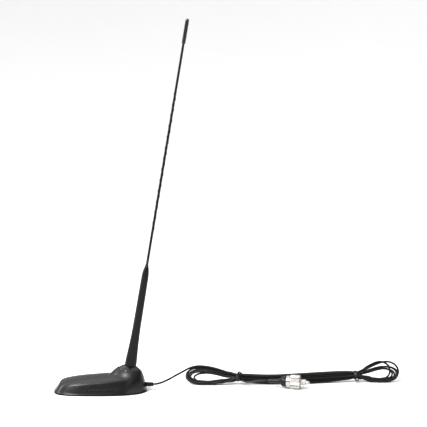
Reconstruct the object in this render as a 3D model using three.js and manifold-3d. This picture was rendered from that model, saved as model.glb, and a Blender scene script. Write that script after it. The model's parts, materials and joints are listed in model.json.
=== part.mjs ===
// Magnetic-mount mobile radio antenna: slipper-shaped base, screw-on loaded whip, tied coaxial lead with UHF plug.
// Millimetres, +Z up. The origin is the centre of the base's underside, +X runs to the rear, where the lead leaves.

import * as THREE from "three";
import { mergeVertices } from "three/addons/utils/BufferGeometryUtils.js";
import Module from "manifold-3d";

const wasm = await Module();
wasm.setup();

// ---------------------------------------------------------------- driving dimensions

const GAP = 0.3; // between pieces that touch

const BASE = {
  halfLength: 60,
  halfWidth: 32,
  noseFullness: 3.6, // exponents of the plan outline's superellipse
  tailFullness: 2.4,
  padHeight: 1.8,
  rim: 2.1, // lower edge of the shell
  wall: 2.4,
};

// Shares are counted from the middle of the base, 0, to its outline, 1.
const RIDGE = {
  at: 0.88,
  height: 16.3, // above the base's middle
  slope: 0.08,
  wallRound: 0.15, // share of quarter-round in the side wall, the rest is straight
  round: 1,
};

const CROWN = {
  at: 0.84,
  strip: 0.6, // rise of the strip between the ridge and the crown
  rise: 3.2,
  fullness: 3,
  grooveDepth: 0.55,
  grooveAt: 0.838,
  grooveWidth: 0.008,
};

const DOME = { x: 39.5, height: 36.2, front: 34.5, rear: 20, side: 22.6, flare: 0.4, blend: 4 };

const MAST = {
  foot: new THREE.Vector3(38.7, 0, 33.4),
  lean: THREE.MathUtils.degToRad(9.55),
  threadRadius: 2.9,
  threadPitch: 1,
  threadReach: 8.4,
  housingTop: 131,
  ferruleTop: 139,
  capBottom: 421,
  top: 453,
};

const COLLAR = { radius: 15.1, topRadius: 8.6, top: -0.3, seat: -1.4, edge: -5, bottom: -6.2, bore: 4.3 };
const BOSS = { seat: -6.5, bottom: -10.5, radius: 18 }; // along the mast's axis, under the collar

const MAGNET = { radius: 19, bore: 5, height: 6, bottom: 2.1, frontX: -22, rearX: 19 };
const TRAY = { bottom: 2.1, top: 4.6, share: 0.87 };
const YOKE = { thickness: 1.5, halfWidth: 15, frontX: -26, rearX: 22 };
const SCREWS = [
  [-44.5, 10.5],
  [-44.5, -10.5],
  [43.5, 13],
  [43.5, -13],
];
const SCREW = { headRadius: 2.7, headHeight: 1.6, shankRadius: 1.35, length: 6 };
const POST = { radius: 2.8, bottom: 5 };

const CORD = { radius: 1.3, exitX: 68.3, exitZ: 8.5 };
const RELIEF = { startX: 52.2, flangeRadius: 3.9, rootRadius: 3, mouthRadius: 2.5, bore: 1.6 };

const HANK = {
  left: 108.6,
  right: 393.9,
  front: 27,
  back: 45,
  drift: 13.5, // how far the right end lies behind the left
  driftFrom: 250,
  driftTo: 335,
  bottom: 0.3,
  top: 13.4,
  leftTie: 179,
  rightTie: 335,
  tieWidth: 4,
  tiedBottom: 4.3,
  tiedTop: 14.2,
  waist: 2,
  bevel: 3,
};
const LEFT_LOOP = { middle: 127, halfLength: 34, rise: 10 };
const RIGHT_LOOP = { middle: 375, halfLength: 34, rise: 16 };

const PLUG = { x: 251, y: 10, ringRadius: 9.15, turn: THREE.MathUtils.degToRad(12) };

const WHIP = {
  coreRadius: 0.75,
  bore: 1.05,
  radius: 1.65,
  topRadius: 1.5,
  ribHeight: 0.4,
  ribFrom: 172,
  ribTo: 362,
  ribPitch: 14,
};

// ---------------------------------------------------------------- materials

const finish = (color, roughness, metalness) => new THREE.MeshStandardMaterial({ color, roughness, metalness });

const SATIN_BLACK = finish(0x1c1c1e, 0.45, 0);
const GLOSS_BLACK = finish(0x151517, 0.18, 0);
const MATT_BLACK = finish(0x161616, 0.6, 0);
const RUBBER_BLACK = finish(0x101010, 0.8, 0);
const CABLE_BLACK = finish(0x0c0c0c, 0.5, 0);
const STEEL = finish(0x9a9a9c, 0.35, 1);
const BRASS = finish(0xb08d45, 0.35, 1);
const NICKEL = finish(0xd8d6d0, 0.2, 1);
const COPPER = finish(0xa8542a, 0.35, 1);
const FERRITE = finish(0x2c2c2e, 0.8, 0);
const LAMINATE = finish(0x2f5a36, 0.5, 0);
const FIBREGLASS = finish(0xd9cfa8, 0.5, 0);
const CERAMIC = finish(0xb5712f, 0.4, 0);
const PALE_PLASTIC = finish(0xe6e2da, 0.4, 0);

// ---------------------------------------------------------------- groups and small tools

const antenna = new THREE.Group();

const mast = new THREE.Group(); // +Z runs up the mast, 0 at its foot
mast.position.copy(MAST.foot);
mast.rotation.y = MAST.lean;
antenna.add(mast);

const plug = new THREE.Group(); // +Z runs out of the plug's pin, 0 in the middle of the coupling ring
plug.position.set(PLUG.x, PLUG.y, PLUG.ringRadius);
plug.rotation.order = "ZYX";
plug.rotation.y = Math.PI / 2;
plug.rotation.z = -PLUG.turn;
antenna.add(plug);

function add(parent, name, geometry, material) {
  const mesh = new THREE.Mesh(geometry, material);
  mesh.name = name;
  parent.add(mesh);
  return mesh;
}

// A closed geometry as a solid for joining and cutting.
function solid(geometry) {
  const bare = geometry.index ? geometry.toNonIndexed() : geometry.clone();
  for (const attribute of Object.keys(bare.attributes)) {
    if (attribute !== "position") bare.deleteAttribute(attribute);
  }
  const merged = mergeVertices(bare, 1e-4);
  const made = new wasm.Manifold(
    new wasm.Mesh({
      numProp: 3,
      vertProperties: merged.attributes.position.array,
      triVerts: new Uint32Array(merged.index.array),
    }),
  );
  if (made.volume() <= 0) throw new Error("a geometry's faces point inwards");
  return made;
}

function geometryOf(made) {
  const mesh = made.getMesh();
  const geometry = new THREE.BufferGeometry();
  geometry.setAttribute("position", new THREE.BufferAttribute(mesh.vertProperties, mesh.numProp));
  geometry.setIndex(new THREE.BufferAttribute(mesh.triVerts, 1));
  geometry.computeVertexNormals();
  return geometry;
}

// A turned piece about +Z from [radius, height] pairs, listed from the lower end up its outside.
function turned(profile, sides = 24) {
  const points = profile.map(([radius, height]) => new THREE.Vector2(radius, height));
  return new THREE.LatheGeometry(points, sides).rotateX(Math.PI / 2);
}

function rod(radius, from, to, sides = 24) {
  return turned([[0, from], [radius, from], [radius, to], [0, to]], sides);
}

function ring(inner, outer, from, to, sides = 24) {
  return turned([[inner, from], [outer, from], [outer, to], [inner, to], [inner, from]], sides);
}

// A round wire or cord through points.
function wire(points, radius, steps, sides = 8) {
  const corners = Array.from({ length: sides }, (_, i) => (2 * Math.PI * i) / sides);
  const section = new THREE.Shape(corners.map((a) => new THREE.Vector2(radius * Math.cos(a), radius * Math.sin(a))));
  const path = new THREE.CatmullRomCurve3(points.map((p) => new THREE.Vector3(...p)));
  return new THREE.ExtrudeGeometry(section, { steps, extrudePath: path });
}

function plate(shape, from, to) {
  return new THREE.ExtrudeGeometry(shape, { depth: to - from, bevelEnabled: false, curveSegments: 16 }).translate(
    0,
    0,
    from,
  );
}

function onMast(geometry) {
  return geometry.rotateY(MAST.lean).translate(MAST.foot.x, MAST.foot.y, MAST.foot.z);
}

// ---------------------------------------------------------------- base outline and height

const smoothstep = THREE.MathUtils.smoothstep;

// Plan outline of the base, a superellipse with a blunter nose than tail.
function outline(angle, inset = 0, share = 1) {
  const c = Math.cos(angle);
  const s = Math.sin(angle);
  const power = 2 / (c < 0 ? BASE.noseFullness : BASE.tailFullness);
  return [
    share * (BASE.halfLength - inset) * Math.sign(c) * Math.abs(c) ** power,
    share * (BASE.halfWidth - inset) * Math.sign(s) * Math.abs(s) ** power,
  ];
}

function outlineShape(inset, share, sides) {
  const angles = Array.from({ length: sides }, (_, i) => (2 * Math.PI * i) / sides);
  return new THREE.Shape(angles.map((angle) => new THREE.Vector2(...outline(angle, inset, share))));
}

function smoothMax(a, b, reach) {
  const h = Math.max(reach - Math.abs(a - b), 0) / reach;
  return Math.max(a, b) + (h * h * reach) / 4;
}

// Height of the shell's outside at x, y, a given share of the way out to the outline.
function shellHeight(x, y, share) {
  const ridge = RIDGE.height + RIDGE.slope * x;

  const up = (1 - share) / (1 - RIDGE.at);
  const quarter = Math.sin((Math.min(up, 1) * Math.PI) / 2);
  const wall = BASE.rim + (ridge - BASE.rim) * (RIDGE.wallRound * quarter + (1 - RIDGE.wallRound) * up);

  let crown;
  if (share > CROWN.at) {
    crown = ridge + (CROWN.strip * (RIDGE.at - share)) / (RIDGE.at - CROWN.at);
  } else {
    crown = ridge + CROWN.strip + CROWN.rise * (1 - (share / CROWN.at) ** CROWN.fullness);
  }
  crown -= CROWN.grooveDepth * Math.exp(-(((share - CROWN.grooveAt) / CROWN.grooveWidth) ** 2));
  const body = -smoothMax(-wall, -crown, RIDGE.round);

  const along = (x - DOME.x) / (x > DOME.x ? DOME.rear : DOME.front);
  const across = (y / DOME.side) ** 2;
  const reach = along ** 2 + across / (1 + DOME.flare * across);
  const dome = reach < 1 ? DOME.height * Math.sqrt(1 - reach) : 0;
  const edge = Math.sqrt(1 - share ** 30);
  return BASE.rim + (smoothMax(body, dome, DOME.blend) - BASE.rim) * edge;
}

const OUTSIDE_SHARES = [
  1, 0.992, 0.98, 0.96, 0.935, 0.91, 0.89, 0.87, 0.85, 0.838, 0.826, 0.79, 0.72, 0.63, 0.52, 0.4, 0.27, 0.13,
];
const INSIDE_SHARES = [1, 0.965, 0.925, 0.885, 0.84, 0.72, 0.58, 0.42, 0.25];

// The space under the shell's outside, or under its inside when inset and dropped.
function slipper(inset, drop, floor, shares) {
  const sides = 48;
  const positions = [];
  const triangles = [];

  const addRing = (share, height) => {
    for (let i = 0; i < sides; i++) {
      const angle = (2 * Math.PI * i) / sides;
      const [x, y] = outline(angle, inset, share);
      positions.push(x, y, height(...outline(angle, 0, share)));
    }
  };
  addRing(1, () => floor);
  for (const share of shares) addRing(share, (x, y) => shellHeight(x, y, share) - drop);

  for (let row = 0; row < shares.length; row++) {
    for (let i = 0; i < sides; i++) {
      const a = row * sides + i;
      const b = row * sides + ((i + 1) % sides);
      triangles.push(a, b, b + sides, a, b + sides, a + sides);
    }
  }
  const top = positions.length / 3;
  positions.push(0, 0, shellHeight(0, 0, 0) - drop);
  positions.push(0, 0, floor);
  const last = shares.length * sides;
  for (let i = 0; i < sides; i++) {
    const next = (i + 1) % sides;
    triangles.push(last + i, last + next, top);
    triangles.push(next, i, top + 1);
  }

  const geometry = new THREE.BufferGeometry();
  geometry.setAttribute("position", new THREE.BufferAttribute(new Float32Array(positions), 3));
  geometry.setIndex(triangles);
  return geometry;
}

// ---------------------------------------------------------------- base

function baseShell() {
  const boss = solid(onMast(rod(BOSS.radius, BOSS.bottom, BOSS.seat + 4, 32)));
  let hollow = solid(slipper(BASE.wall, BASE.wall, 0, INSIDE_SHARES)).subtract(boss);
  for (const [x, y] of SCREWS) {
    hollow = hollow.subtract(solid(rod(POST.radius, POST.bottom, 30, 12).translate(x, y, 0)));
  }

  let shell = solid(slipper(0, 0, BASE.rim, OUTSIDE_SHARES)).subtract(hollow);
  shell = shell.subtract(solid(onMast(rod(COLLAR.radius + GAP, BOSS.seat, 20, 32))));
  shell = shell.subtract(solid(onMast(rod(MAST.threadRadius + GAP, BOSS.bottom - 5, 0, 16))));
  for (const [x, y] of SCREWS) {
    const hole = rod(SCREW.shankRadius + GAP, 0, TRAY.bottom + SCREW.headHeight + SCREW.length, 10);
    shell = shell.subtract(solid(hole.translate(x, y, 0)));
  }
  const gland = rod(RELIEF.rootRadius + GAP, 48, 64, 16).rotateY(Math.PI / 2);
  shell = shell.subtract(solid(gland.translate(0, 0, CORD.exitZ)));
  add(antenna, "base_shell", geometryOf(shell), SATIN_BLACK);
}

function baseFloor() {
  add(antenna, "base_pad", plate(outlineShape(0, 1, 48), 0, BASE.padHeight), RUBBER_BLACK);

  let tray = solid(plate(outlineShape(BASE.wall, TRAY.share, 48), TRAY.bottom, TRAY.top));
  for (const x of [MAGNET.frontX, MAGNET.rearX]) {
    tray = tray.subtract(solid(rod(MAGNET.radius + GAP, 0, 10, 32).translate(x, 0, 0)));
  }
  for (const [x, y] of SCREWS) {
    const shank = solid(rod(SCREW.shankRadius + GAP, 0, 10, 10).translate(x, y, 0));
    const head = solid(rod(SCREW.headRadius + GAP, 0, TRAY.bottom + SCREW.headHeight, 12).translate(x, y, 0));
    tray = tray.subtract(shank).subtract(head);
  }
  add(antenna, "bottom_tray", geometryOf(tray), MATT_BLACK);

  SCREWS.forEach(([x, y], i) => {
    const headTop = TRAY.bottom + SCREW.headHeight - GAP;
    const tip = headTop + SCREW.length;
    const screw = turned(
      [
        [0, TRAY.bottom],
        [SCREW.headRadius, TRAY.bottom],
        [SCREW.headRadius, headTop],
        [SCREW.shankRadius, headTop],
        [SCREW.shankRadius, tip - 1.5],
        [0, tip],
      ],
      10,
    );
    add(antenna, `tray_screw_${i + 1}`, screw, STEEL).position.set(x, y, 0);
  });
}

function magnets() {
  const top = MAGNET.bottom + MAGNET.height;
  const magnet = ring(MAGNET.bore, MAGNET.radius, MAGNET.bottom, top, 32);
  add(antenna, "magnet_front", magnet, FERRITE).position.x = MAGNET.frontX;
  add(antenna, "magnet_rear", magnet.clone(), FERRITE).position.x = MAGNET.rearX;

  const yoke = new THREE.Shape();
  yoke.absarc(YOKE.rearX, 0, YOKE.halfWidth, -Math.PI / 2, Math.PI / 2);
  yoke.absarc(YOKE.frontX, 0, YOKE.halfWidth, Math.PI / 2, (3 * Math.PI) / 2);
  add(antenna, "yoke_plate", plate(yoke, top + GAP, top + GAP + YOKE.thickness), STEEL);
}

function matchingNetwork() {
  const boardBottom = MAGNET.bottom + MAGNET.height + YOKE.thickness + 2 * GAP;
  const boardTop = boardBottom + 1.6;
  const board = new THREE.BoxGeometry(28, 18, boardTop - boardBottom);
  add(antenna, "match_board", board, LAMINATE).position.set(5, 0, (boardBottom + boardTop) / 2);

  const turns = 5;
  const pitch = 3;
  const wound = [[0, -7.5]];
  for (let i = 0; i < turns; i++) {
    const start = -7.5 + pitch * i;
    wound.push([1.6, start], [2.2, start + 1], [2.2, start + 2]);
  }
  wound.push([1.6, 7.5], [0, 7.5]);
  const coil = turned(wound, 12).rotateX(Math.PI / 2);
  add(antenna, "matching_coil", coil, COPPER).position.set(-2, 0, boardTop + GAP + 2.2);

  const capacitor = turned([[0, -1], [1.8, -1], [2.4, -0.4], [2.4, 0.4], [1.8, 1], [0, 1]], 14).rotateY(Math.PI / 2);
  add(antenna, "match_capacitor", capacitor, CERAMIC).position.set(9, 4.5, boardTop + GAP + 2.4);
}

function leadEntry() {
  const s = (x) => x - CORD.exitX;
  const start = RELIEF.startX;
  const profile = [
    [RELIEF.bore, s(start)],
    [RELIEF.flangeRadius, s(start)],
    [RELIEF.flangeRadius, s(start + 1.3)],
    [RELIEF.rootRadius, s(start + 1.3)],
    [RELIEF.rootRadius, s(60.5)],
    [RELIEF.rootRadius - 0.35, s(60.8)],
    [RELIEF.rootRadius - 0.35, s(61.6)],
    [RELIEF.rootRadius - 0.15, s(61.9)],
    [RELIEF.rootRadius - 0.2, s(63)],
    [RELIEF.rootRadius - 0.5, s(63.3)],
    [RELIEF.rootRadius - 0.5, s(64.1)],
    [RELIEF.rootRadius - 0.3, s(64.4)],
    [RELIEF.mouthRadius + 0.1, s(67.6)],
    [RELIEF.mouthRadius - 0.2, s(CORD.exitX)],
    [RELIEF.bore, s(CORD.exitX)],
    [RELIEF.bore, s(start)],
  ];
  const relief = turned(profile, 16).rotateY(Math.PI / 2);
  add(antenna, "strain_relief", relief, RUBBER_BLACK).position.set(CORD.exitX, 0, CORD.exitZ);

  const route = [
    [CORD.exitX, 0, CORD.exitZ],
    [60, 0, CORD.exitZ],
    [52, 0, CORD.exitZ],
    [46.5, -0.5, 9.3],
    [42, -2, 11.2],
    [36, -4, 13.2],
    [29, -5, 13.8],
    [20, -5, 13.8],
  ];
  add(antenna, "coax_end", wire(route, CORD.radius, 24), CABLE_BLACK);
}

// ---------------------------------------------------------------- mast root

function mastRoot() {
  const washerRadius = 7.1;
  const collar = turned(
    [
      [COLLAR.bore, COLLAR.bottom],
      [COLLAR.radius, COLLAR.bottom],
      [COLLAR.radius, COLLAR.edge],
      [13.4, -3.2],
      [11, -1.6],
      [COLLAR.topRadius, COLLAR.top],
      [washerRadius + GAP, COLLAR.top],
      [washerRadius + GAP, COLLAR.seat],
      [COLLAR.bore, COLLAR.seat],
      [COLLAR.bore, COLLAR.bottom],
    ],
    32,
  );
  add(mast, "mast_collar", collar, GLOSS_BLACK);

  const washerTop = -0.1;
  add(mast, "root_washer", ring(MAST.threadRadius + 0.5, washerRadius, COLLAR.seat + GAP, washerTop, 24), RUBBER_BLACK);

  const r = MAST.threadRadius;
  const stud = [[0, -18], [r - 0.4, -18], [r, -17.5], [r, BOSS.seat + GAP], [4, BOSS.seat + GAP], [4, COLLAR.seat]];
  stud.push([r - 0.4, COLLAR.seat]);
  for (let height = 0; height < MAST.threadReach - 1; height += MAST.threadPitch) {
    stud.push([r, height], [r - 0.4, height + MAST.threadPitch / 2]);
  }
  stud.push([r - 0.6, MAST.threadReach], [0, MAST.threadReach]);
  add(mast, "mast_stud", turned(stud, 12), BRASS);

  const under = BOSS.bottom - GAP;
  add(mast, "stud_insulator", ring(r + GAP, 5.5, under - 1.5, under, 16), PALE_PLASTIC);
  const tagTop = under - 1.5 - GAP;
  const disc = solid(ring(r + GAP, 4.8, tagTop - 0.5, tagTop, 16));
  const tail = solid(new THREE.BoxGeometry(7, 2.4, 0.5).translate(-7.5, 0, tagTop - 0.25));
  add(mast, "solder_tag", geometryOf(disc.add(tail)), BRASS);
  const nutTop = tagTop - 0.5 - GAP;
  const hexagon = solid(rod(5.7, nutTop - 4, nutTop, 6));
  const nut = hexagon.subtract(solid(rod(r + GAP, nutTop - 5, nutTop + 1, 16)));
  add(mast, "stud_nut", geometryOf(nut), BRASS);

  // The feed wire stands beside the tag's tail, which is soldered to it.
  const tagEnd = new THREE.Vector3(-11.9, 0, tagTop - 0.25).applyAxisAngle(new THREE.Vector3(0, 1, 0), MAST.lean);
  tagEnd.add(MAST.foot);
  const feed = [
    [15, 3, 13.1],
    [17, 3, 15.5],
    [21, 1.5, 18.8],
    [tagEnd.x - 0.6, 0.3, tagEnd.z],
  ];
  add(antenna, "feed_wire", wire(feed, 0.6, 12, 6), COPPER);
}

// ---------------------------------------------------------------- mast and whip

function mastBody() {
  add(
    mast,
    "mast_ferrule",
    turned([[3.2, 0.5], [4.1, 0.5], [4.1, 12], [0, 12], [0, 9.2], [3.2, 9.2], [3.2, 0.5]], 20),
    BRASS,
  );

  const housing = [
    [4.4, 0.2],
    [7.5, 0.2],
    [7.65, 2],
    [7.55, 6],
    [7, 14],
    [6.1, 27.7],
    [5.3, 46],
    [5, 74],
    [4.75, 101.5],
    [4.55, 117],
    [4.3, 122.5],
    [3.7, 126.5],
    [2.95, 130],
    [2.7, MAST.housingTop],
    [1.9, MAST.housingTop],
    [1.9, 109.5],
    [2.9, 109.5],
    [2.9, 12.3],
    [4.4, 12.3],
    [4.4, 0.2],
  ];
  add(mast, "mast_housing", turned(housing, 20), MATT_BLACK);

  add(mast, "coil_former", rod(1.6, 12.3, 108, 10), FIBREGLASS);
  const winding = [[1.9, 22]];
  const turns = 8;
  const pitch = 76 / turns;
  for (let i = 0; i < turns; i++) {
    winding.push([2.3, 22 + pitch * i], [2.6, 22 + pitch * (i + 0.3)], [2.6, 22 + pitch * (i + 0.7)]);
  }
  winding.push([2.3, 98], [1.9, 98], [1.9, 22]);
  add(mast, "loading_coil", turned(winding, 12), COPPER);

  const socket = [
    [0, 108.3],
    [1.6, 108.3],
    [1.6, 130],
    [WHIP.bore, 130],
    [WHIP.bore, 114],
    [0, 114],
  ];
  add(mast, "whip_socket", turned(socket, 12), BRASS);
}

function whip() {
  const foot = MAST.housingTop + GAP;
  const ferrule = [
    [WHIP.bore, foot],
    [2.6, foot],
    [2.15, foot + 1.8],
    [1.7, foot + 4.4],
    [1.7, foot + 5.6],
    [1.95, foot + 6.1],
    [1.95, foot + 7.3],
    [1.7, MAST.ferruleTop],
    [WHIP.bore, MAST.ferruleTop],
    [WHIP.bore, foot],
  ];
  add(mast, "whip_ferrule", turned(ferrule, 16), NICKEL);
  add(mast, "whip_core", rod(WHIP.coreRadius, 114.3, MAST.top - 8, 8), STEEL);
  add(mast, "whip_jacket", whipJacket(MAST.ferruleTop + GAP, MAST.top - 7), MATT_BLACK);

  const bore = WHIP.topRadius + GAP;
  const cap = [
    [bore, MAST.capBottom],
    [2.15, MAST.capBottom],
    [2.4, MAST.capBottom + 2.5],
    [2.45, MAST.top - 5],
    [2.3, MAST.top - 2.2],
    [1.7, MAST.top - 0.7],
    [0, MAST.top],
    [0, MAST.top - 5],
    [bore, MAST.top - 5],
    [bore, MAST.capBottom],
  ];
  add(mast, "tip_cap", turned(cap, 16), GLOSS_BLACK);
}

// A thin tapered tube whose outside carries one helical rib over its middle stretch.
function whipJacket(from, to) {
  const sides = 8;
  const ribSteps = Math.round(((WHIP.ribTo - WHIP.ribFrom) / WHIP.ribPitch) * 8);
  const heights = [from];
  for (let i = 0; i <= ribSteps; i++) {
    heights.push(WHIP.ribFrom + ((WHIP.ribTo - WHIP.ribFrom) * i) / ribSteps);
  }
  heights.push(to);

  const positions = [];
  const triangles = [];
  const addRing = (height, radiusAt) => {
    for (let i = 0; i < sides; i++) {
      const angle = (2 * Math.PI * i) / sides;
      const radius = radiusAt(angle);
      positions.push(radius * Math.cos(angle), radius * Math.sin(angle), height);
    }
  };
  for (const height of heights) {
    const inRib = height >= WHIP.ribFrom && height <= WHIP.ribTo;
    const fade = inRib
      ? smoothstep(height, WHIP.ribFrom, WHIP.ribFrom + 6) * (1 - smoothstep(height, WHIP.ribTo - 6, WHIP.ribTo))
      : 0;
    const crest = (2 * Math.PI * height) / WHIP.ribPitch;
    const plain = WHIP.radius + ((WHIP.topRadius - WHIP.radius) * (height - from)) / (MAST.capBottom - from);
    addRing(height, (angle) => {
      const facing = Math.max(0, Math.cos(angle - crest)) ** 4;
      return Math.max(plain, WHIP.topRadius) + WHIP.ribHeight * fade * facing;
    });
  }
  addRing(to, () => WHIP.bore);
  addRing(from, () => WHIP.bore);

  const rows = heights.length + 2;
  for (let row = 0; row < rows; row++) {
    for (let i = 0; i < sides; i++) {
      const next = (i + 1) % sides;
      const below = row * sides;
      const above = ((row + 1) % rows) * sides;
      triangles.push(below + i, below + next, above + next, below + i, above + next, above + i);
    }
  }
  const geometry = new THREE.BufferGeometry();
  geometry.setAttribute("position", new THREE.BufferAttribute(new Float32Array(positions), 3));
  geometry.setIndex(triangles);
  return geometry;
}

// ---------------------------------------------------------------- lead, hank and ties

// The free stretch from the strain relief up to the top of the hank's left loop.
const LEAD_ROUTE = [
  [68.6, 0, 8.5],
  [72, 0.4, 8.8],
  [77, 2.4, 9.5],
  [84, 8, 11],
  [90.5, 14, 12.9],
  [97, 21, 15.2],
  [103, 28, 17],
  [107, 33, 17.6],
];

// The stretch from the front of the hank to the plug's boot.
const TAIL_ROUTE = [
  [188, 24.4, 6],
  [194, 22.2, 6.2],
  [201, 20.3, 7.2],
  [208, 18.9, 8.6],
  [216.2, 17.4, 9.15],
];

// Upper and lower edge of the hank seen from the front: round at both ends, drawn in and lifted by each tie.
function hankEdge(x) {
  const bump = (middle, halfLength) => {
    const away = Math.abs(x - middle) / halfLength;
    return away < 1 ? Math.cos((away * Math.PI) / 2) ** 2 : 0;
  };
  const tied = Math.max(bump(HANK.leftTie, 18), bump(HANK.rightTie, 18)) ** 0.5;
  const loops = LEFT_LOOP.rise * bump(LEFT_LOOP.middle, LEFT_LOOP.halfLength);
  const rise = loops + RIGHT_LOOP.rise * bump(RIGHT_LOOP.middle, RIGHT_LOOP.halfLength);
  const top = HANK.top + rise + (HANK.tiedTop - HANK.top) * tied;
  const bottom = HANK.bottom + (HANK.tiedBottom - HANK.bottom) * tied;
  const fromEnd = Math.min(Math.max(Math.min(x - HANK.left, HANK.right - x), 0.5), 16) / 16;
  const round = Math.sqrt(1 - (1 - fromEnd) ** 2);
  const middle = (top + bottom) / 2;
  return [middle + (top - middle) * round, middle - (middle - bottom) * round];
}

function hankDrift(x) {
  return HANK.drift * smoothstep(x, HANK.driftFrom, HANK.driftTo);
}

// Corners of the hank's section at x, anticlockwise seen from the rear. The ties draw it into a shallow waist.
function hankSection(x) {
  const [top, bottom] = hankEdge(x);
  const fromTie = Math.min(Math.abs(x - HANK.leftTie), Math.abs(x - HANK.rightTie));
  const waist = fromTie < HANK.tieWidth / 2 + 3 ? HANK.waist : 0;
  const front = HANK.front + waist + hankDrift(x);
  const back = HANK.back - waist + hankDrift(x);
  const bevel = Math.min(HANK.bevel, (top - bottom) / 3);
  return [
    [x, front + bevel, bottom],
    [x, back - bevel, bottom],
    [x, back, bottom + bevel],
    [x, back, top - bevel],
    [x, back - bevel, top],
    [x, front + bevel, top],
    [x, front, top - bevel],
    [x, front, bottom + bevel],
  ];
}

function hank() {
  const steps = 56;
  const stations = [];
  for (let i = 0; i <= steps; i++) {
    stations.push(HANK.left + ((HANK.right - HANK.left) * (1 - Math.cos((Math.PI * i) / steps))) / 2);
  }
  for (const tie of [HANK.leftTie, HANK.rightTie]) {
    for (const away of [-5.4, -4.8, 4.8, 5.4]) stations.push(tie + away);
  }
  stations.sort((a, b) => a - b);

  const corners = 8;
  const last = (stations.length - 1) * corners;
  const triangles = [];
  for (let row = 0; row < last; row += corners) {
    for (let i = 0; i < corners; i++) {
      const a = row + i;
      const b = row + ((i + 1) % corners);
      triangles.push(a, b, b + corners, a, b + corners, a + corners);
    }
  }
  for (let i = 1; i < corners - 1; i++) triangles.push(0, i + 1, i, last, last + i, last + i + 1);
  const geometry = new THREE.BufferGeometry();
  const positions = new Float32Array(stations.flatMap(hankSection).flat());
  geometry.setAttribute("position", new THREE.BufferAttribute(positions, 3));
  geometry.setIndex(triangles);
  add(antenna, "cable_hank", geometry, CABLE_BLACK);

  [["twist_tie_left", HANK.leftTie], ["twist_tie_right", HANK.rightTie]].forEach(([name, x]) => {
    const edges = [x - HANK.tieWidth / 2, x, x + HANK.tieWidth / 2].map(hankEdge);
    const low = Math.min(...edges.map(([, bottom]) => bottom)) - GAP;
    const high = Math.max(...edges.map(([top]) => top)) + GAP;
    const front = HANK.front + HANK.waist - GAP + hankDrift(x);
    const back = HANK.back - HANK.waist + GAP + hankDrift(x);
    const thickness = 1;
    const outer = new THREE.BoxGeometry(HANK.tieWidth, back - front + 2 * thickness, high - low + 2 * thickness);
    const inner = new THREE.BoxGeometry(HANK.tieWidth + 2, back - front, high - low);
    const centre = [x, (front + back) / 2, (low + high) / 2];
    const band = solid(outer.translate(...centre)).subtract(solid(inner.translate(...centre)));
    add(antenna, name, geometryOf(band), MATT_BLACK);
  });
}

function lead() {
  add(antenna, "cable_lead", wire(LEAD_ROUTE, CORD.radius, 16), CABLE_BLACK);
  hank();
  add(antenna, "cable_tail", wire(TAIL_ROUTE, CORD.radius, 10), CABLE_BLACK);
}

// ---------------------------------------------------------------- plug

function uhfPlug() {
  const boot = [
    [0, -34.3],
    [1.9, -34.3],
    [2.4, -32],
    [3.2, -20.5],
    [4.2, -17.4],
    [6.5, -14.8],
    [6.9, -13],
    [6.9, -9.4],
    [6.4, -9.4],
    [6.4, -12.3],
    [4.7, -12.3],
    [4.7, -14.5],
    [0, -14.5],
  ];
  add(plug, "plug_boot", turned(boot, 16), RUBBER_BLACK);

  add(plug, "plug_reducer", turned([[0, -14.2], [4.4, -14.2], [4.4, -12.3], [3, -12.3], [3, -5], [0, -5]], 20), NICKEL);

  const body = [
    [3.3, -12],
    [6.1, -12],
    [6.1, -6],
    [7.1, -6],
    [7.1, -4],
    [5.6, -3.4],
    [5.6, 9.5],
    [4, 9.5],
    [4, -3.6],
    [3.3, -3.6],
    [3.3, -12],
  ];
  add(plug, "plug_body", turned(body, 28), NICKEL);

  add(plug, "plug_insulator", ring(1.5, 3.7, -3.3, 16.5, 20), PALE_PLASTIC);
  const pin = [[0, -2], [1.2, -2], [1.2, 16.8], [2, 16.8], [2, 20.2], [1.5, 21.2], [0, 21.5]];
  add(plug, "plug_pin", turned(pin, 16), NICKEL);

  const coupling = [
    [6.45, -9],
    [7.5, -9],
    [7.9, -8.6],
    [7.9, -4.4],
    [8.7, -4],
    [PLUG.ringRadius, -3.5],
    [PLUG.ringRadius, 8.4],
    [8.7, 9],
    [7.7, 9],
    [7.45, 8.6],
    [7.45, -6.4],
    [6.45, -6.4],
    [6.45, -9],
  ];
  add(plug, "coupling_ring", turned(coupling, 28), NICKEL);
}

// ---------------------------------------------------------------- assembly

baseShell();
baseFloor();
magnets();
matchingNetwork();
leadEntry();
mastRoot();
mastBody();
whip();
lead();
uhfPlug();

export default antenna;
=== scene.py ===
"""Looks of the magnetic-mount whip antenna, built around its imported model.

Lengths are millimetres, unless a comment says metres.
"""

import json
import math

import bpy
import numpy as np
from mathutils import Matrix, Vector


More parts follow.
